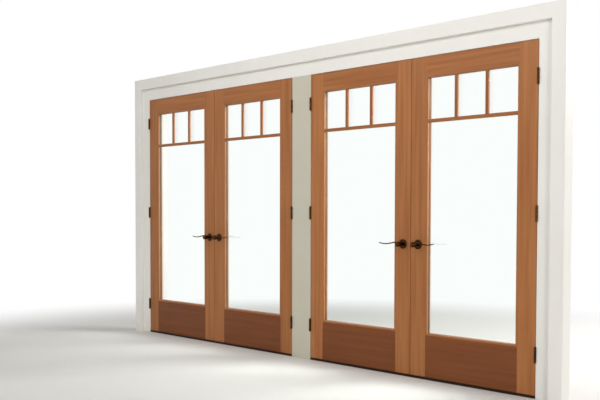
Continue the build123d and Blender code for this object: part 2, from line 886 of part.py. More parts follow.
# Astragal: screwed to the outside of the passive leaf, it laps the gap and the active leaf's edge
with BuildPart() as astragal:
    with BuildSketch(Plane((0, 0, seal_bottom - floor_gap + astragal_end_gap))) as section_sketch:
        with BuildLine():
            Polyline(
                (leaf_width - astragal_on_leaf, leaf_thickness),
                (leaf_width + meeting_gap / 2, leaf_thickness),
                (leaf_width + meeting_gap / 2, leaf_thickness + astragal_clearance),
                (leaf_width + meeting_gap + astragal_lap, leaf_thickness + astragal_clearance),
                (leaf_width + meeting_gap + astragal_lap, leaf_thickness + astragal_thickness),
                (leaf_width - astragal_on_leaf, leaf_thickness + astragal_thickness),
                close=True,
            )
        make_face()
        fillet(section_sketch.vertices().group_by(Axis.Y)[-1], radius=astragal_round)
    extrude(amount=seal_top - seal_bottom - 2 * astragal_end_gap)

# Every leaf gets its own copy of each piece
for number, hinge_edge, side, passive in leaves:
    pieces = {
        "hinge_stile": hinge_stile_mortised.part,
        "lock_stile": passive_lock_stile.part if passive else active_lock_stile.part,
        "top_rail": top_rail,
        "bottom_rail": bottom_rail,
        "bars": group([cross_bar, *upright_bars]),
        "glass": sealed_unit.part,
        "beads": group([bottom_bead, top_bead, hinge_side_bead, lock_side_bead]),
        "hinge_leaves": group(leaf_hinge_halves),
        "lockset": group([room_rosette, outside_rosette, gear_case.part if passive else latch_case.part]),
        "levers": group([room_lever, outside_knob.part, spindle.part]),
    }
    if passive:
        pieces["astragal"] = astragal.part
        pieces["top_bolt"] = top_bolt.part
        pieces["bottom_bolt"] = bottom_bolt.part
    else:
        pieces["latch_bolt"] = latch_bolt.part
    for name, shape in pieces.items():
        save(hang(shape, hinge_edge, side), f"leaf_{number}_{name}")

save(
    group([hang(half, edge, side) for _, edge, side, _ in leaves for half in frame_hinge_halves]),
    "frame_hinge_leaves",
)
save(group([hang(pin, edge, side) for _, edge, side, _ in leaves for pin in pins]), "hinge_pins")
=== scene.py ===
import json
from math import cos, pi, radians, sin, sqrt

import bmesh
import bpy
from mathutils import Matrix, Vector


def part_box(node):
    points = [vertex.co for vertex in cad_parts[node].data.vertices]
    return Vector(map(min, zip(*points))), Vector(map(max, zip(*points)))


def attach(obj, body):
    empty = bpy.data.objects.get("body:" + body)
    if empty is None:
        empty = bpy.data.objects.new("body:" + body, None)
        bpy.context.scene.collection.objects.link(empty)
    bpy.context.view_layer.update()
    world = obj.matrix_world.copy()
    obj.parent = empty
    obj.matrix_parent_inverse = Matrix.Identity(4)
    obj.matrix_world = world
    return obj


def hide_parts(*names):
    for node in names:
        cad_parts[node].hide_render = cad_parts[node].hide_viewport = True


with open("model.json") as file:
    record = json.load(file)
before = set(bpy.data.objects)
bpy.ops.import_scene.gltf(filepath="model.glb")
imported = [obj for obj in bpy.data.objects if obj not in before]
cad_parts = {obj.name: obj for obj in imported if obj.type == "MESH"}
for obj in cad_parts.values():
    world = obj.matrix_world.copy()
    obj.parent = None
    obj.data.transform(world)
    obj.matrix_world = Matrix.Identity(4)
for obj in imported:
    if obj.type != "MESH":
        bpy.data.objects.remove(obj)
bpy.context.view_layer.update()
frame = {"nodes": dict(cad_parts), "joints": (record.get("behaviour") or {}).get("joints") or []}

# Painted frame and casing
# Jambs, head and casing are planed poplar boards, primed and sprayed with white acrylic enamel. The casing
# boards are mitred and lap the jambs, and their edges are eased with sandpaper before painting.

TRIM_WHITE = "#EBE9E4"
TRIM_SHADE = "#E2DFD8"
TRIM_EDGE = 0.0009
SHARP_ANGLE = 30
JOIN_REACH = 0.00001
PAINT_STIPPLE = 0.0016
STIPPLE_DEPTH = 0.0002
PAINT_CLOUD = 0.35
PAINT_ROUGHNESS = (0.34, 0.46)
PAINT_IOR = 1.48


def linear(colour):
    """Scene-linear colour of an sRGB hex value such as #A36B46."""
    parts = [int(colour[start:start + 2], 16) / 255 for start in (1, 3, 5)]
    return (*[c / 12.92 if c <= 0.04045 else ((c + 0.055) / 1.055) ** 2.4 for c in parts], 1.0)


def add_node(material, kind, inputs, **settings):
    """Add one node. Its inputs go by name or number, each as a value or as the socket that feeds it."""
    tree = material.node_tree
    node = tree.nodes.new("ShaderNode" + kind)
    for name, value in settings.items():
        setattr(node, name, value)
    for name, value in inputs.items():
        if isinstance(value, bpy.types.NodeSocket):
            tree.links.new(value, node.inputs[name])
        else:
            node.inputs[name].default_value = value
    return node


def new_material(name):
    """An empty node material and its output."""
    material = bpy.data.materials.new(name)
    material.use_nodes = True
    material.node_tree.nodes.clear()
    return material, add_node(material, "OutputMaterial", {})


def surface(material, output, inputs):
    """Give a material one principled shader with those inputs."""
    shader = add_node(material, "BsdfPrincipled", inputs)
    material.node_tree.links.new(shader.outputs["BSDF"], output.inputs["Surface"])
    return material


def object_place(material):
    """Place on the piece in metres."""
    return add_node(material, "TexCoord", {}).outputs["Object"]


def noise(material, place, size, detail):
    """Soft noise whose patches are about that size in metres."""
    inputs = {"Vector": place, "Scale": 1 / size, "Detail": detail}
    return add_node(material, "TexNoise", inputs).outputs["Fac"]


def spread(material, value, low, high):
    """A value from nought to one, laid out from low to high."""
    inputs = {"Value": value, "To Min": low, "To Max": high}
    return add_node(material, "MapRange", inputs).outputs["Result"]


def blend(material, share, first, second):
    """Colour between two others."""
    inputs = {0: share, 6: first, 7: second}
    return add_node(material, "Mix", inputs, data_type="RGBA").outputs[2]


def relief(material, height, strength, depth):
    """Surface normal of a fine relief with that depth in metres."""
    inputs = {"Height": height, "Strength": strength, "Distance": depth}
    return add_node(material, "Bump", inputs).outputs["Normal"]


def maths(material, operation, *values):
    """Result of one sum on values or sockets."""
    return add_node(material, "Math", dict(enumerate(values)), operation=operation).outputs[0]


def sprayed_enamel(name, light, shade):
    """Acrylic enamel on primed wood: satin and even, with the gun's fine stipple and faint clouds of tone."""
    material, output = new_material(name)
    place = object_place(material)
    cloud = noise(material, place, PAINT_CLOUD, 3.0)
    stipple = noise(material, place, PAINT_STIPPLE, 1.0)
    inputs = {
        "Base Color": blend(material, cloud, linear(shade), linear(light)),
        "Roughness": spread(material, cloud, *PAINT_ROUGHNESS),
        "IOR": PAINT_IOR,
        "Normal": relief(material, stipple, 0.15, STIPPLE_DEPTH),
    }
    return surface(material, output, inputs)


def finish(names, *materials):
    """Give CAD nodes their material."""
    for name in names:
        mesh = frame["nodes"][name].data
        mesh.materials.clear()
        for material in materials:
            mesh.materials.append(material)


def ease_edges(names, width):
    """Round the sharp edges of CAD nodes, as sandpaper does."""
    for name in names:
        piece = frame["nodes"][name]
        mesh = piece.data
        mesh.normals_split_custom_set([(0.0, 0.0, 0.0)] * len(mesh.loops))
        weld = piece.modifiers.new("joined faces", "WELD")
        weld.merge_threshold = JOIN_REACH
        round_over = piece.modifiers.new("eased edges", "BEVEL")
        round_over.width = width
        round_over.segments = 2
        round_over.limit_method = "ANGLE"
        round_over.angle_limit = radians(SHARP_ANGLE)
        round_over.harden_normals = True


trim_boards = (
    "left_jamb", "right_jamb", "head_jamb", "casing_left", "casing_right", "casing_head", "exterior_casing",
)
white_enamel = sprayed_enamel("white acrylic enamel, sprayed", TRIM_WHITE, TRIM_SHADE)
finish(trim_boards, white_enamel)
ease_edges(trim_boards, TRIM_EDGE)

# Centre post
# A boxed post of the same poplar between the two pairs, with the stops milled on it. It is painted greige in
# the same satin enamel.

POST_LIGHT = "#C6C1B0"
POST_SHADE = "#BDB7A5"

greige_enamel = sprayed_enamel("greige acrylic enamel, sprayed", POST_LIGHT, POST_SHADE)
finish(["mull_post"], greige_enamel)
ease_edges(["mull_post"], TRIM_EDGE)

# Sills
# One extruded aluminium sill under each pair, anodised dark bronze, with open chambers below. Slip ribs run
# along its outside slope, and the leaves close against its riser.

BRONZE_ANODISE = "#3A2E25"
SILL_EDGE = 0.0004
SILL_ROUGHNESS = (0.3, 0.46)
DIE_LINE = 0.0007
DIE_LINE_DEPTH = 0.0001
RIB_WIDTH = 0.003
RIB_HEIGHT = 0.0010
RIB_ROOT = 0.0002
RIB_PITCH = 0.009
RIB_MARGIN = 0.012
SAME_LEVEL = 0.0005
RISER_DROP = 0.005


def drawn_aluminium(name, colour):
    """Anodised extrusion: a dark satin metal with the fine lines that the die leaves along its length."""
    material, output = new_material(name)
    along = add_node(material, "Mapping", {"Vector": object_place(material), "Scale": (0.01, 1.0, 1.0)})
    lines = noise(material, along.outputs["Vector"], DIE_LINE, 2.0)
    inputs = {
        "Base Color": linear(colour),
        "Metallic": 1.0,
        "Roughness": spread(material, lines, *SILL_ROUGHNESS),
        "Normal": relief(material, lines, 0.3, DIE_LINE_DEPTH),
    }
    return surface(material, output, inputs)


bronze_aluminium = drawn_aluminium("aluminium, extruded and anodised bronze", BRONZE_ANODISE)
finish(["sills"], bronze_aluminium)
ease_edges(["sills"], SILL_EDGE)


def new_piece(name, shape, material, body):
    """Turn a bmesh into a named piece with its material, on its body."""
    mesh = bpy.data.meshes.new(name)
    bmesh.ops.recalc_face_normals(shape, faces=shape.faces)
    shape.to_mesh(mesh)
    shape.free()
    piece = bpy.data.objects.new(name, mesh)
    bpy.context.scene.collection.objects.link(piece)
    mesh.materials.append(material)
    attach(piece, body)
    return piece


def run_profile(shape, profile, start, end):
    """Add a closed bar to a bmesh: the same outline, given as points, at a start and at an end offset."""
    rings = [[shape.verts.new(Vector(point) + offset) for point in profile] for offset in (start, end)]
    count = len(profile)
    for index in range(count):
        after = (index + 1) % count
        shape.faces.new((rings[0][index], rings[0][after], rings[1][after], rings[1][index]))
    shape.faces.new(rings[0])
    shape.faces.new(reversed(rings[1]))


# The slope between the riser and the nose is read from the vertices of the right-hand sill
sill_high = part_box("sills")[1]
sill_points = [v.co.copy() for v in frame["nodes"]["sills"].data.vertices if v.co.x > 0]
nose = [point for point in sill_points if point.y > sill_high.y - SAME_LEVEL]
nose_top = max(nose, key=lambda point: point.z)
sill_left, sill_right = min(point.x for point in nose), max(point.x for point in nose)
riser_back = max(point.y for point in sill_points if point.z > sill_high.z - SAME_LEVEL)
tread_top = max(point.z for point in sill_points if point.z < sill_high.z - RISER_DROP)
slope = (nose_top.z - tread_top) / (nose_top.y - riser_back)

ribs = bmesh.new()
for mirror_x in (-1, 1):
    depth = riser_back + RIB_MARGIN
    while depth < nose_top.y - RIB_MARGIN:
        seat = tread_top + (depth - riser_back) * slope
        outline = [
            (0, depth - RIB_WIDTH / 2, seat - RIB_ROOT),
            (0, depth - RIB_WIDTH / 4, seat + RIB_HEIGHT),
            (0, depth + RIB_WIDTH / 4, seat + RIB_HEIGHT),
            (0, depth + RIB_WIDTH / 2, seat - RIB_ROOT),
        ]
        ends = [Vector((mirror_x * x, 0, 0)) for x in (sill_left, sill_right)]
        run_profile(ribs, outline, *ends)
        depth += RIB_PITCH
new_piece("sill_ribs", ribs, bronze_aluminium, "frame")

# Weatherstrips and sweeps
# Foam seals in a thin polyethylene skin, pushed into the kerfs of the stops, and two soft fins in kerfs under
# each leaf, which wipe the sill. Both are bronze brown and dull.

SEAL_BROWN = "#33291F"
SKIN_WRINKLE = 0.004
WRINKLE_DEPTH = 0.0003
SKIN_ROUGHNESS = 0.6
FIN_THICKNESS = 0.0012
FIN_DEPTHS = (0.010, 0.034)
FIN_GAP = 0.0004
FIN_ROOT = 0.004
FIN_END = 0.004


def skinned_foam(name, colour):
    """Foam in a thin skin: dull and dark, with the small wrinkles of the skin."""
    material, output = new_material(name)
    wrinkles = noise(material, object_place(material), SKIN_WRINKLE, 2.0)
    inputs = {
        "Base Color": linear(colour),
        "Roughness": SKIN_ROUGHNESS,
        "IOR": 1.5,
        "Normal": relief(material, wrinkles, 0.4, WRINKLE_DEPTH),
    }
    return surface(material, output, inputs)


brown_foam = skinned_foam("polyethylene skin on foam", SEAL_BROWN)
finish(["weatherstrips"], brown_foam)

for number in (1, 2, 3, 4):
    hinge_low, hinge_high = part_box(f"leaf_{number}_hinge_stile")
    lock_low, lock_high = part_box(f"leaf_{number}_lock_stile")
    left, right = min(hinge_low.x, lock_low.x) + FIN_END, max(hinge_high.x, lock_high.x) - FIN_END
    fins = bmesh.new()
    for depth in FIN_DEPTHS:
        outline = [
            (0, hinge_low.y + depth, hinge_low.z + FIN_ROOT),
            (0, hinge_low.y + depth, tread_top + FIN_GAP),
            (0, hinge_low.y + depth + FIN_THICKNESS, tread_top + FIN_GAP),
            (0, hinge_low.y + depth + FIN_THICKNESS, hinge_low.z + FIN_ROOT),
        ]
        run_profile(fins, outline, Vector((left, 0, 0)), Vector((right, 0, 0)))
    new_piece(f"leaf_{number}_sweep", fins, brown_foam, f"leaf_{number}")

# Wood of the leaves
# Stiles, rails, bars, beads and astragals are vertical grain fir, stained a warm brown and sprayed with satin
# varnish. The stiles run through, the rails are coped and tenoned into them, and each board has its own tone.

FIR_LIGHT = "#B57949"
FIR_MIDDLE = "#A96E3F"
FIR_DARK = "#9C6134"
LATEWOOD = "#814D25"
LATEWOOD_SHARE = 0.3
LATEWOOD_EDGE = 2.6
RING_SPACING = 0.0032
RING_TILT = 0.4
WANDER_PATCH = 0.06
WANDER = 9 * RING_SPACING
STREAK = 0.022
STREAK_ENDS = (0.3, 0.72)
FIBRE = 0.0007
FIBRE_TONE = (0.92, 1.08)
STRETCH = 1 / 28
BOARD_SPREAD = 3.1
BOARD_TONE = (0.95, 1.05)
GRAIN_DEPTH = 0.00012
VARNISH_ROUGHNESS = (0.42, 0.56)
WOOD_EDGE = 0.0007


def stained_fir(name, grain, deepen):
    """Quarter-sawn fir under stain and satin varnish: straight rings, long soft streaks and fine fibre.

    The rings run along the axis called grain. Deepen makes the wood darker, redder and more even, as more
    stain does when it swallows more light. On the bottom rails it is partly a deeper stain and partly painted
    shade, the shade low near the floor; on the bars it only makes them darker than the stiles. The varnish's
    matting dulls its sheen.
    """
    material, output = new_material(name)
    board = add_node(material, "ObjectInfo", {}).outputs["Random"]
    shift = maths(material, "MULTIPLY", board, BOARD_SPREAD)
    shifts = add_node(material, "CombineXYZ", {"X": shift, "Y": shift, "Z": shift}).outputs[0]
    inputs = {0: object_place(material), 1: shifts}
    moved = add_node(material, "VectorMath", inputs, operation="ADD").outputs[0]
    scale = (1, 1, STRETCH) if grain == "z" else (STRETCH, 1, 1)
    stretched = add_node(material, "Mapping", {"Vector": moved, "Scale": scale}).outputs["Vector"]
    split = add_node(material, "SeparateXYZ", {"Vector": moved})
    across = split.outputs["X" if grain == "z" else "Z"]

    # The rings wander a little, as they do in a real board
    drift = noise(material, stretched, WANDER_PATCH, 2.0)
    wander = maths(material, "MULTIPLY_ADD", drift, WANDER, across)
    tilted = maths(material, "MULTIPLY_ADD", split.outputs["Y"], RING_TILT, wander)
    ring = maths(material, "FRACT", maths(material, "MULTIPLY", tilted, 1 / RING_SPACING))
    latewood = maths(material, "POWER", ring, LATEWOOD_EDGE)

    streaks = noise(material, stretched, STREAK, 3.0)
    fibres = noise(material, stretched, FIBRE, 2.0)
    base = add_node(material, "ValToRGB", {"Fac": streaks})
    ramp = base.color_ramp
    ramp.elements[0].position = STREAK_ENDS[0] - deepen / 4
    ramp.elements[0].color = linear(FIR_DARK)
    ramp.elements[1].position = STREAK_ENDS[1] + deepen / 4
    ramp.elements[1].color = linear(FIR_LIGHT)
    ramp.elements.new(0.5).color = linear(FIR_MIDDLE)
    ring_share = maths(material, "MULTIPLY", latewood, LATEWOOD_SHARE)
    ringed = blend(material, ring_share, base.outputs["Color"], linear(LATEWOOD))

    # Half of the deepening darkens all colours alike, and half of it takes the green and blue first
    stained = add_node(material, "Gamma", {"Color": ringed, "Gamma": 1 + deepen / 2}).outputs[0]
    board_tone = spread(material, board, *[tone * (1 - deepen / 2) for tone in BOARD_TONE])
    level = maths(material, "MULTIPLY", spread(material, fibres, *FIBRE_TONE), board_tone)
    toned = add_node(material, "VectorMath", {0: stained, "Scale": level}, operation="SCALE").outputs[0]
    height = maths(material, "ADD", latewood, fibres)
    inputs = {
        "Base Color": toned,
        "Roughness": spread(material, fibres, *VARNISH_ROUGHNESS),
        "IOR": 1.45,
        "Specular IOR Level": 0.25,
        "Coat Weight": 0.1,
        "Coat Roughness": 0.3,
        "Normal": relief(material, height, 0.25, GRAIN_DEPTH),
    }
    return surface(material, output, inputs)


upright_fir = stained_fir("fir, stained and varnished, upright grain", "z", 0.08)
level_fir = stained_fir("fir, stained and varnished, level grain", "x", 0.14)
# The bottom rails are darker than the rest: partly a deeper stain, partly painted shade, the shade that falls
# low near the floor
bottom_fir = stained_fir("fir, stained and varnished, level grain, deeper stain", "x", 0.68)
for number in (1, 2, 3, 4):
    stiles = [f"leaf_{number}_hinge_stile", f"leaf_{number}_lock_stile"]
    top_rail, bottom_rail = f"leaf_{number}_top_rail", f"leaf_{number}_bottom_rail"
    finish(stiles, upright_fir)
    finish([top_rail], level_fir)
    finish([bottom_rail], bottom_fir)
    ease_edges([*stiles, top_rail, bottom_rail], WOOD_EDGE)
finish(["leaf_1_astragal", "leaf_3_astragal"], upright_fir)

# Glazing bars and beads
# Four mitred square beads hold the glass from the room side. Between them a cross bar and two upright bars lie
# on the pane and divide it into three small lites over a tall one. Each stick's grain runs along its length.

BAR_WIDTH = 0.0222

upright_bar_fir = stained_fir("fir, stained and varnished, slender upright bars", "z", 0.3)
level_bar_fir = stained_fir("fir, stained and varnished, slender level bars", "x", 0.2)
for number in (1, 2, 3, 4):
    bars = frame["nodes"][f"leaf_{number}_bars"]
    bars_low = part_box(f"leaf_{number}_bars")[0]
    finish([f"leaf_{number}_bars"], upright_bar_fir, level_bar_fir)
    for face in bars.data.polygons:
        face.material_index = 1 if face.center.z < bars_low.z + BAR_WIDTH else 0

    # A bead's face belongs to the edge of the glass that it lies nearest to
    beads = frame["nodes"][f"leaf_{number}_beads"]
    beads_low, beads_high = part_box(f"leaf_{number}_beads")
    finish([f"leaf_{number}_beads"], upright_fir, level_fir)
    for face in beads.data.polygons:
        to_side = min(face.center.x - beads_low.x, beads_high.x - face.center.x)
        to_end = min(face.center.z - beads_low.z, beads_high.z - face.center.z)
        face.material_index = 0 if to_side < to_end else 1
    ease_edges([f"leaf_{number}_bars", f"leaf_{number}_beads"], WOOD_EDGE)

# Glass
# A sealed double unit of clear float glass fills each leaf, set against the outside tongue. A dark foam spacer
# keeps the two panes apart at their edge, and just shows past the bead from the side.

GLASS_TINT = "#FCFEFD"
SPACER_DARK = "#2A251B"
PANE = 0.003
EDGE_SEAL = 0.007
SPACER_GAP = 0.0001
SPACER_WALL = 0.0015


def float_glass(name, tint):
    """Clear float glass: colourless from the front, faintly green through its edge, and fully glossy."""
    material, output = new_material(name)
    inputs = {"Base Color": linear(tint), "Roughness": 0.0, "IOR": 1.52, "Transmission Weight": 1.0}
    pane = add_node(material, "BsdfPrincipled", inputs)
    # Light that falls through the pane goes straight on, so the pane throws no dark shadow
    passing = add_node(material, "BsdfTransparent", {"Color": linear(tint)})
    shadow = add_node(material, "LightPath", {}).outputs["Is Shadow Ray"]
    both = add_node(material, "MixShader", {0: shadow, 1: pane.outputs[0], 2: passing.outputs[0]})
    material.node_tree.links.new(both.outputs[0], output.inputs["Surface"])
    return material


clear_glass = float_glass("float glass, clear", GLASS_TINT)
spacer_foam = skinned_foam("silicone foam, warm edge", SPACER_DARK)


def box_ring(shape, low, high, front, back, wall):
    """Add a rectangular ring with that wall to a bmesh, between a front and a back depth."""
    corners = ((low[0], low[1]), (high[0], low[1]), (high[0], high[1]), (low[0], high[1]))
    inward = ((1, 1), (-1, 1), (-1, -1), (1, -1))
    shrunk = [(x + sx * wall, z + sz * wall) for (x, z), (sx, sz) in zip(corners, inward)]
    outer = [[shape.verts.new((x, depth, z)) for x, z in corners] for depth in (front, back)]
    inner = [[shape.verts.new((x, depth, z)) for x, z in shrunk] for depth in (front, back)]
    for index in range(4):
        after = (index + 1) % 4
        for ring in (outer, inner):
            shape.faces.new((ring[0][index], ring[0][after], ring[1][after], ring[1][index]))
        for side in (0, 1):
            shape.faces.new((outer[side][index], outer[side][after], inner[side][after], inner[side][index]))


for number in (1, 2, 3, 4):
    glass_name = f"leaf_{number}_glass"
    finish([glass_name], clear_glass)
    low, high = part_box(glass_name)
    inset = EDGE_SEAL + SPACER_GAP
    spacer = bmesh.new()
    box_ring(
        spacer,
        (low.x + inset, low.z + inset),
        (high.x - inset, high.z - inset),
        low.y + PANE + SPACER_GAP,
        high.y - PANE - SPACER_GAP,
        SPACER_WALL,
    )
    new_piece(f"leaf_{number}_spacer", spacer, spacer_foam, f"leaf_{number}")

# Hinges
# Butt hinges of rolled steel plate with a dark bronze plating, let in flush, with five knuckles on a loose
# pin. Three countersunk screws hold each plate.

BRONZE_DARK = "#3B2410"
BRONZE_WORN = "#6E4824"
BRONZE_MOTTLE = 0.011
BRONZE_ROUGHNESS = (0.26, 0.44)
SWIRL_DEPTH = 0.0003
HINGE_HALF = 0.0445
HINGE_GAP = 0.003
SCREW_RADIUS = 0.0036
SCREW_PROUD = 0.00035
SCREW_TOP_SHARE = 0.9
SCREW_SEGMENTS = 20
CROSS_ARM = 0.0022
CROSS_HALF = 0.00045
CROSS_FLOOR = 0.00004
CROSS_FLOOR_SHARE = 0.7
SCREW_ROWS = ((-0.033, 0.020), (0.0, 0.026), (0.033, 0.020))


def dark_bronze_plate(name):
    """Oil-rubbed bronze plating: nearly black and satin, with patches of warmer brown scattered over it at
    random.
    """
    material, output = new_material(name)
    mottle = noise(material, object_place(material), BRONZE_MOTTLE, 4.0)
    worn = add_node(material, "MapRange", {"Value": mottle, "From Min": 0.5, "From Max": 0.8})
    inputs = {
        "Base Color": blend(material, worn.outputs["Result"], linear(BRONZE_DARK), linear(BRONZE_WORN)),
        "Metallic": 1.0,
        "Roughness": spread(material, mottle, *BRONZE_ROUGHNESS),
        "Normal": relief(material, mottle, 0.1, SWIRL_DEPTH),
    }
    return surface(material, output, inputs)


oiled_bronze = dark_bronze_plate("bronze plating, oil-rubbed")
finish([f"leaf_{number}_hinge_leaves" for number in (1, 2, 3, 4)], oiled_bronze)
finish(["frame_hinge_leaves", "hinge_pins"], oiled_bronze)


def screw_head(shape, centre, out, turn):
    """Add a countersunk head with a cross recess to a bmesh. Out is the way that it faces."""
    axis = Vector(out)
    side = axis.orthogonal().normalized()
    other = axis.cross(side)

    def spot(radius, angle, rise):
        offset = side * (radius * cos(angle + turn)) + other * (radius * sin(angle + turn))
        return shape.verts.new(Vector(centre) + offset + axis * rise)

    steps = [2 * pi * index / SCREW_SEGMENTS for index in range(SCREW_SEGMENTS)]
    rim = [spot(SCREW_RADIUS, step, 0) for step in steps]
    top = [spot(SCREW_RADIUS * SCREW_TOP_SHARE, step, SCREW_PROUD) for step in steps]
    inner = sqrt(2) * CROSS_HALF
    reach = sqrt(CROSS_ARM**2 + CROSS_HALF**2)
    lean = CROSS_HALF / CROSS_ARM
    cross = []
    for quarter in range(4):
        middle = quarter * pi / 2
        cross += [(reach, middle - lean), (reach, middle + lean), (inner, middle + pi / 4)]
    lip = [spot(radius, angle, SCREW_PROUD) for radius, angle in cross]
    floor = [spot(radius * CROSS_FLOOR_SHARE, angle, CROSS_FLOOR) for radius, angle in cross]
    edges = []
    for ring in (top, lip):
        edges += [shape.edges.new((ring[index - 1], ring[index])) for index in range(len(ring))]
    for index in range(SCREW_SEGMENTS):
        shape.faces.new((rim[index - 1], rim[index], top[index], top[index - 1]))
    for index in range(len(lip)):
        shape.faces.new((lip[index - 1], lip[index], floor[index], floor[index - 1]))
    shape.faces.new(floor)
    bmesh.ops.triangle_fill(shape, edges=edges, use_beauty=True)


# A leaf's three hinges are found from the top, the bottom and the middle of its plates' vertices. Each screw
# stops at an angle of its own, as one driven by hand does.
frame_screws = bmesh.new()
for number in (1, 2, 3, 4):
    low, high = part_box(f"leaf_{number}_hinge_stile")
    way = -1 if number in (1, 3) else 1
    edge = low.x if way < 0 else high.x
    plate_heights = [v.co.z for v in frame["nodes"][f"leaf_{number}_hinge_leaves"].data.vertices]
    middle = sum(plate_heights) / len(plate_heights)
    leaf_screws = bmesh.new()
    for height in (min(plate_heights) + HINGE_HALF, middle, max(plate_heights) - HINGE_HALF):
        for rise, depth in SCREW_ROWS:
            place = Vector((edge, low.y + depth, height + rise))
            facing = Vector((edge + way * HINGE_GAP, low.y + depth, height + rise))
            turn = (height + rise + number) * 7
            screw_head(leaf_screws, place, (way, 0, 0), turn)
            screw_head(frame_screws, facing, (-way, 0, 0), turn + 1)
    new_piece(f"leaf_{number}_hinge_screws", leaf_screws, oiled_bronze, f"leaf_{number}")
new_piece("frame_hinge_screws", frame_screws, oiled_bronze, "frame")

# Lever sets
# A forged brass rose on each side of the stile, with a waved lever on the room side and a low knob outside,
# plated dark bronze, on one square spindle. The arm grows out of the hub and thins towards its tip.

LOCK_SETS = [f"leaf_{number}_lockset" for number in (1, 2, 3, 4)]
ROSE_THICKNESS = 0.009
TURNING_GAP = 0.0003
NECK_RADIUS = 0.012
HUB_RADIUS = 0.0175
HUB_START = 0.036
HUB_END = 0.062
HUB_ROUND = 0.003
KNOB_RADIUS = 0.0198
KNOB_END = 0.0202
KNOB_WALL = 0.004
SPINDLE_HALF = 0.004
ARM_DEPTH = 0.050
ARM_THICKNESS = 0.0128
ARM_HEIGHT = 0.0092
ARM_TIP_SHARE = 0.7
ARM_END_SHARE = 0.35
ARM_SIDES = 8
# Half the arm's thickness, and a little over for what the smoothing takes off
ARM_SWELL = 0.58
# Reach of the arm's line from the spindle and its rise above it, root to tip
ARM_WAVE = (
    (0.006, 0.0092), (0.016, 0.0118), (0.030, 0.0114), (0.050, 0.0076), (0.080, 0.0025),
    (0.114, -0.0008), (0.141, 0.0024), (0.160, 0.0070), (0.1640, 0.0080),
)
LATHE_STEPS = 32

finish(LOCK_SETS, oiled_bronze)


def sleeve(shape, rings):
    """Join rings of vertices into a closed skin."""
    count = len(rings[0])
    for back, front in zip(rings, rings[1:]):
        for index in range(count):
            shape.faces.new((back[index - 1], back[index], front[index], front[index - 1]))
    shape.faces.new(rings[0])
    shape.faces.new(rings[-1])


def turned(shape, centre, out, profile):
    """Add a turned form to a bmesh: a profile of radius and distance, from its back to its closed front."""
    angles = [2 * pi * index / LATHE_STEPS for index in range(LATHE_STEPS)]
    rings = []
    for radius, distance in profile:
        depth = centre.y + out * distance
        points = [(centre.x + radius * cos(angle), depth, centre.z + radius * sin(angle)) for angle in angles]
        rings.append([shape.verts.new(point) for point in points])
    sleeve(shape, rings)


def waved_arm(shape, centre, out, way):
    """Add the arm to a bmesh: oval rings along the wave, closed at the root inside the hub and at the tip."""
    count = len(ARM_WAVE)
    rings = []
    for index, (reach, rise) in enumerate(ARM_WAVE):
        before = Vector(ARM_WAVE[max(index - 1, 0)])
        after = Vector(ARM_WAVE[min(index + 1, count - 1)])
        along = (after - before).normalized()
        taper = 1 - (1 - ARM_TIP_SHARE) * min(index / (count - 2), 1)
        if index == count - 1:
            taper *= ARM_END_SHARE
        ring = []
        for step in range(ARM_SIDES):
            angle = 2 * pi * (step + 0.5) / ARM_SIDES
            depth = ARM_DEPTH + ARM_THICKNESS * taper * ARM_SWELL * cos(angle)
            up = ARM_HEIGHT * taper * ARM_SWELL * sin(angle)
            x, z = reach - along.y * up, rise + along.x * up
            ring.append(shape.verts.new((centre.x + way * x, centre.y + out * depth, centre.z + z)))
        rings.append(ring)
    sleeve(shape, rings)


# Radius and distance from the stile. Points close together keep an edge crisp when the form is smoothed
hub_profile = [
    (NECK_RADIUS, ROSE_THICKNESS + TURNING_GAP),
    (NECK_RADIUS, ROSE_THICKNESS + 0.006),
    (NECK_RADIUS, HUB_START - 0.004),
    (NECK_RADIUS + 0.001, HUB_START - 0.0012),
    (HUB_RADIUS - 0.0012, HUB_START),
    (HUB_RADIUS, HUB_START + 0.0012),
    (HUB_RADIUS, HUB_START + 0.006),
    (HUB_RADIUS, HUB_END - HUB_ROUND),
    (HUB_RADIUS - 0.0009, HUB_END - 0.0009),
    (HUB_RADIUS - HUB_ROUND, HUB_END),
    (HUB_RADIUS * 0.5, HUB_END),
]
knob_profile = [
    (NECK_RADIUS, ROSE_THICKNESS + TURNING_GAP),
    (NECK_RADIUS, ROSE_THICKNESS + 0.0025),
    (KNOB_RADIUS - 0.0015, ROSE_THICKNESS + 0.0033),
    (KNOB_RADIUS, ROSE_THICKNESS + 0.0050),
    (KNOB_RADIUS, KNOB_END - 0.0035),
    (KNOB_RADIUS - 0.0012, KNOB_END - 0.0012),
    (KNOB_RADIUS - 0.0040, KNOB_END),
    (KNOB_RADIUS * 0.5, KNOB_END),
]

joints = {joint["name"]: joint for joint in frame["joints"]}
for number in (1, 2, 3, 4):
    axis_place = Vector(joints[f"lever_{number}_turn"]["pos_m"])
    low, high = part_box(f"leaf_{number}_lock_stile")
    way = -1 if number in (1, 3) else 1
    handles = bmesh.new()
    room_side = Vector((axis_place.x, low.y, axis_place.z))
    turned(handles, room_side, -1, hub_profile)
    waved_arm(handles, room_side, -1, way)
    turned(handles, Vector((axis_place.x, high.y, axis_place.z)), 1, knob_profile)
    corners = ((-1, -1), (1, -1), (1, 1), (-1, 1))
    spindle = [(axis_place.x + x * SPINDLE_HALF, 0, axis_place.z + z * SPINDLE_HALF) for x, z in corners]
    ends = [Vector((0, depth, 0)) for depth in (low.y - HUB_START, high.y + KNOB_END - KNOB_WALL)]
    run_profile(handles, spindle, *ends)
    levers = new_piece(f"lever_{number}_handles", handles, oiled_bronze, f"lever_{number}")
    smooth = levers.modifiers.new("forged surface", "SUBSURF")
    smooth.levels = 2
    smooth.render_levels = 2
    for face in levers.data.polygons:
        face.use_smooth = True
    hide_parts(f"leaf_{number}_levers")

# Latches, bolts and plates
# Zinc plated steel: a spring latch in each active leaf, and a top and a bottom bolt in each passive leaf. The
# faceplates are bronze like the roses, each held by two screws in the leaf's edge.

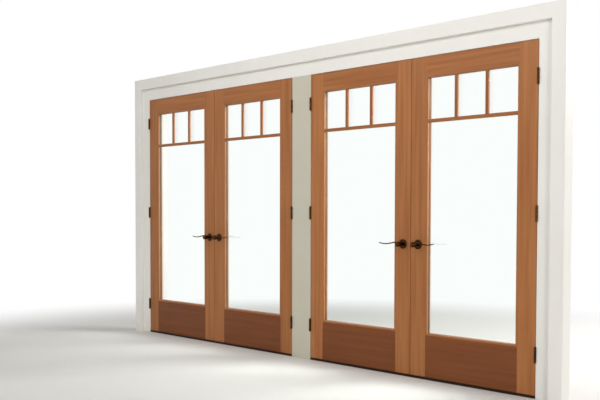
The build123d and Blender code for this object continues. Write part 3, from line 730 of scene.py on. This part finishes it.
ZINC = "#8E8F90"
ZINC_GRAIN = 0.0025
ZINC_ROUGHNESS = (0.28, 0.42)
GEAR_SCREW_RISE = 0.075
LATCH_SCREW_RISE = 0.021


def zinc_steel(name, colour):
    """Zinc plated steel: a grey satin metal with a faint crystalline mottle."""
    material, output = new_material(name)
    crystals = noise(material, object_place(material), ZINC_GRAIN, 2.0)
    roughness = spread(material, crystals, *ZINC_ROUGHNESS)
    return surface(material, output, {"Base Color": linear(colour), "Metallic": 1.0, "Roughness": roughness})


plated_steel = zinc_steel("steel, zinc plated", ZINC)
finish(["leaf_2_latch_bolt", "leaf_4_latch_bolt"], plated_steel)
for number in (1, 3):
    finish([f"leaf_{number}_top_bolt", f"leaf_{number}_bottom_bolt"], plated_steel)

for number in (1, 2, 3, 4):
    low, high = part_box(f"leaf_{number}_lock_stile")
    way, edge, rise = (1, high.x, GEAR_SCREW_RISE) if number in (1, 3) else (-1, low.x, LATCH_SCREW_RISE)
    axis_height = joints[f"lever_{number}_turn"]["pos_m"][2]
    plate_screws = bmesh.new()
    for lift in (-rise, rise):
        place = (edge, (low.y + high.y) / 2, axis_height + lift)
        screw_head(plate_screws, place, (way, 0, 0), lift * 31)
    new_piece(f"leaf_{number}_plate_screws", plate_screws, oiled_bronze, f"leaf_{number}")

# Floor and light
# A plain pale studio floor under the doors, which fades to white with distance, so that no edge of it shows.
# Large soft lamps stand in the room, at its right side and outside, where the daylight falls on the glass.

FLOOR_PALE = "#E4E2DE"
FLOOR_RADIUS = 60.0
FLOOR_DROP = 0.0005
FADE_START = 2.4
FADE_END = 4.6
SOFT_LIGHT = 0.35
WHITE = (1.0, 1.0, 1.0, 1.0)


def seen_share(owner):
    """One for rays from the camera, straight or by a mirror or a pane, and nought for those that light."""
    path = add_node(owner, "LightPath", {})
    mirrored = maths(owner, "MAXIMUM", path.outputs["Is Camera Ray"], path.outputs["Is Glossy Ray"])
    return maths(owner, "MAXIMUM", mirrored, path.outputs["Is Transmission Ray"])


def studio_floor(name):
    """Matt pale floor: it takes the object's shadow, and turns to plain white further out."""
    material, output = new_material(name)
    distance = add_node(material, "VectorMath", {0: object_place(material)}, operation="LENGTH")
    inputs = {"Value": distance.outputs["Value"], "From Min": FADE_START, "From Max": FADE_END}
    fade = add_node(material, "MapRange", inputs, interpolation_type="SMOOTHSTEP")
    matt = add_node(material, "BsdfDiffuse", {"Color": linear(FLOOR_PALE)})
    white = add_node(material, "Emission", {"Color": WHITE, "Strength": 1.0})
    # Only what sees the floor sees it white: it lights the doors as a matt floor does
    seen = maths(material, "MULTIPLY", fade.outputs["Result"], seen_share(material))
    both = add_node(material, "MixShader", {0: seen, 1: matt.outputs[0], 2: white.outputs[0]})
    material.node_tree.links.new(both.outputs[0], output.inputs["Surface"])
    return material


floor_shape = bmesh.new()
bmesh.ops.create_circle(floor_shape, cap_ends=True, segments=64, radius=FLOOR_RADIUS)
floor_mesh = bpy.data.meshes.new("studio_floor")
floor_shape.to_mesh(floor_mesh)
floor_shape.free()
floor = bpy.data.objects.new("studio_floor", floor_mesh)
floor.location.z = -FLOOR_DROP
bpy.context.scene.collection.objects.link(floor)
floor_mesh.materials.append(studio_floor("studio floor, matt"))

world = bpy.data.worlds.new("studio")
world.use_nodes = True
world.node_tree.nodes.clear()
soft = add_node(world, "Background", {"Color": WHITE, "Strength": SOFT_LIGHT})
backdrop = add_node(world, "Background", {"Color": WHITE, "Strength": 1.0})
shares = {0: seen_share(world), 1: soft.outputs[0], 2: backdrop.outputs[0]}
sky = add_node(world, "MixShader", shares)
sky_out = add_node(world, "OutputWorld", {})
world.node_tree.links.new(sky.outputs[0], sky_out.inputs["Surface"])
bpy.context.scene.world = world


def soft_box(name, place, target, width, height, power):
    """A rectangular soft light that faces a target."""
    data = bpy.data.lights.new(name, "AREA")
    data.shape = "RECTANGLE"
    data.size = width
    data.size_y = height
    data.energy = power
    lamp = bpy.data.objects.new(name, data)
    lamp.location = place
    lamp.rotation_mode = "QUATERNION"
    lamp.rotation_quaternion = (Vector(target) - Vector(place)).to_track_quat("-Z", "Y")
    lamp.visible_camera = False
    bpy.context.scene.collection.objects.link(lamp)


soft_box("key", (0.0, -10.0, 4.4), (0.0, 0.0, 1.1), 4.5, 4.5, 220)
soft_box("overhead", (0.6, -2.4, 3.1), (0.6, 0.0, 1.7), 3.0, 0.8, 21)
soft_box("side", (9.5, -5.2, 2.2), (0.0, -0.1, 1.1), 1.8, 1.8, 225)
# The daylight hangs above the doors: no pane shows it or mirrors it in a view from level or from above
soft_box("daylight", (3.2, 3.6, 3.9), (0.6, 0.0, 1.1), 3.0, 3.0, 310)

# Camera
# It stands to the right of the doors at chest height and looks almost level, and its frame is shifted up, so
# that uprights stay upright.

CAMERA_PLACE = (4.5549, -4.4923, 1.0660)
CAMERA_YAW = 45.9157
CAMERA_PITCH = -2.0714
CAMERA_ROLL = 0.1204
FOCAL_LENGTH = 52.197
SENSOR_WIDTH = 36.0
VIEW_REACH = 200.0
FRAME_SHIFT = (-0.00252, 0.07299)

camera_data = bpy.data.cameras.new("view")
camera_data.lens = FOCAL_LENGTH
camera_data.sensor_width = SENSOR_WIDTH
camera_data.shift_x, camera_data.shift_y = FRAME_SHIFT
camera_data.clip_end = VIEW_REACH
camera = bpy.data.objects.new("view", camera_data)
camera.matrix_world = (
    Matrix.Translation(CAMERA_PLACE)
    @ Matrix.Rotation(radians(CAMERA_YAW), 4, "Z")
    @ Matrix.Rotation(radians(90 + CAMERA_PITCH), 4, "X")
    @ Matrix.Rotation(radians(CAMERA_ROLL), 4, "Z")
)
bpy.context.scene.collection.objects.link(camera)
bpy.context.scene.camera = camera
bpy.context.scene.view_settings.view_transform = "Standard"
